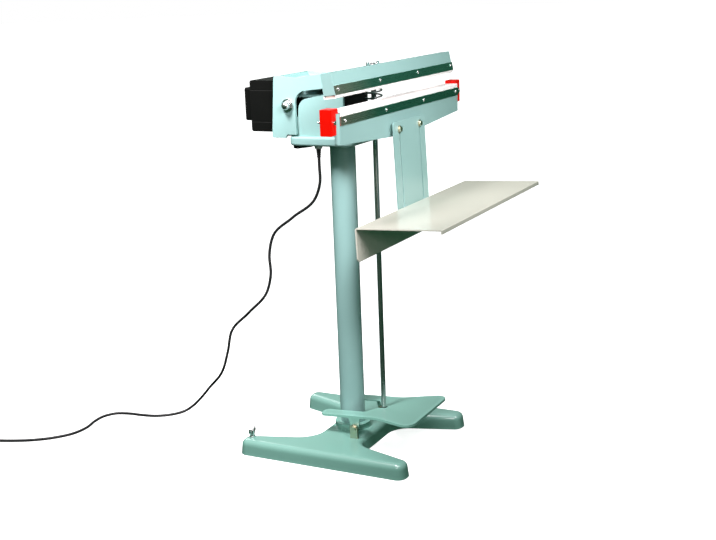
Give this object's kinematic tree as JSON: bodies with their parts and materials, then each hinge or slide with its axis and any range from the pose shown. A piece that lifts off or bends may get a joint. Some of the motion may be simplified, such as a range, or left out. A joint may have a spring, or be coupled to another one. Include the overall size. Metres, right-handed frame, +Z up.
{
  "type": "pedestal impulse sealer",
  "caption": "Floor-standing foot-operated impulse sealer: forked cast base, tube column, treadle and pull rod, long sealing jaws, tilted work table and rear control box.",
  "frame": {"origin": "on the floor under the column's axis", "axes": "+Z up, -Y towards the operator, +X towards the operator's right"},
  "size_m": [0.8186, 1.373, 0.9296],
  "materials": {
    "teal_enamel": "semi-gloss enamel",
    "dark_steel": "blackened",
    "zinc": "yellow zinc plate",
    "chrome": "bright plate",
    "steel": "plain",
    "polished_strip": "polished",
    "aluminium": "mill finish",
    "bronze": "plain bearing bronze",
    "black_plastic": "fine texture",
    "red_plastic": "moulded",
    "amber_lens": "clear tint",
    "white_cloth": "coated glass cloth",
    "insulation": "woven strip",
    "element_wire": "resistance alloy",
    "silicone": "soft",
    "core_iron": "varnished laminations",
    "winding": "enamelled copper wire",
    "board": "solder mask",
    "white_enamel": "gloss enamel",
    "gland_plastic": "moulded",
    "black_rubber": "satin sheath"
  },
  "bodies": {
    "stand": {"base_casting": "teal_enamel", "column_tube": "teal_enamel", "head_plinth": "teal_enamel", "lower_body": "teal_enamel", "front_plate": "teal_enamel", "column_set_screws": "dark_steel", "pedal_ears": "zinc", "pedal_pivot_bolts": "zinc", "bracket_bolts": "zinc", "arm_pivot_bolts": "chrome", "lower_strip_screws": "chrome", "terminal_screws": "chrome", "plug_pins": "chrome", "spring_seat": "steel", "return_spring": "steel", "panel_screws": "steel", "timer_pot": "steel", "lower_clamp_strip": "polished_strip", "lower_jaw_bar": "aluminium", "rod_guide_bush": "bronze", "bottom_cover": "black_plastic", "switch_cover": "black_plastic", "microswitch": "black_plastic", "control_box": "black_plastic", "rear_panel": "black_plastic", "switch_housing": "black_plastic", "terminal_block_left": "red_plastic", "terminal_block_right": "red_plastic", "pilot_lamp": "amber_lens", "lower_cloth": "white_cloth", "insulation_strip": "insulation", "heating_element": "element_wire", "transformer_core": "core_iron", "transformer_coil": "winding", "timer_board": "board", "cable_gland": "gland_plastic", "cord": "black_rubber", "cord_coil": "black_rubber", "cord_tie": "black_rubber", "plug_body": "black_rubber"},
    "arm": {"arm_casting": "teal_enamel", "pivot_bushes": "bronze", "upper_jaw_shell": "teal_enamel", "pad_carrier": "aluminium", "silicone_pad": "silicone", "upper_cloth": "white_cloth", "upper_clamp_strip": "polished_strip", "upper_strip_screws": "chrome", "jaw_bolts": "steel"},
    "treadle": {"pedal": "teal_enamel"},
    "rod": {"pull_rod": "chrome", "cross_pin": "steel"},
    "nut": {"adjusting_nut": "chrome"},
    "table": {"table_bracket": "teal_enamel", "work_table": "white_enamel", "table_screws": "steel"},
    "knob": {"timer_knob": "black_plastic"},
    "rocker": {"power_rocker": "red_plastic"},
    "plunger": {"switch_plunger": "red_plastic"},
    "foot_screw": {"levelling_screw": "chrome"}
  },
  "joints": [
    {"name": "arm_close", "type": "hinge", "parent": "stand", "child": "arm", "pos_m": [0, 0.1, 0.834], "axis": [1, 0, 0], "range_deg": [0, 6.1], "stiffness_Nm_per_rad": 104, "springref_deg": -13.75, "deforming": ["return_spring"]},
    {"name": "pedal_press", "type": "hinge", "parent": "stand", "child": "treadle", "pos_m": [0, -0.044, 0.063], "axis": [1, 0, 0], "range_deg": [0, 27.5]},
    {"name": "rod_pull", "type": "slide", "parent": "stand", "child": "rod", "axis": [0, 0, -1], "range_m": [0, 0.019]},
    {"name": "nut_turn", "type": "hinge", "parent": "rod", "child": "nut", "pos_m": [0, -0.086, 0.912], "axis": [0, 0, 1], "continuous": true},
    {"name": "table_height", "type": "slide", "parent": "stand", "child": "table", "axis": [0, 0.0401, 0.9992], "range_m": [0, 0.045]},
    {"name": "timer_turn", "type": "hinge", "parent": "stand", "child": "knob", "pos_m": [0.02, 0.24, 0.845], "axis": [0, -1, 0], "range_deg": [0, 270]},
    {"name": "power_switch", "type": "hinge", "parent": "stand", "child": "rocker", "pos_m": [-0.022, 0.231, 0.845], "axis": [1, 0, 0], "range_deg": [0, 16]},
    {"name": "switch_press", "type": "slide", "parent": "stand", "child": "plunger", "axis": [0, 0, -1], "range_m": [0, 0.0047]},
    {"name": "levelling_turn", "type": "hinge", "parent": "stand", "child": "foot_screw", "pos_m": [-0.167, 0.191, 0.04], "axis": [0, 0, 1], "continuous": true}
  ],
  "couplings": [
    {"joint": "pedal_press", "follows": "arm_close", "ratio": 4.5081},
    {"joint": "rod_pull", "follows": "arm_close", "m_per_rad": 0.17846},
    {"joint": "switch_press", "follows": "arm_close", "m_per_rad": 0.04414}
  ]
}
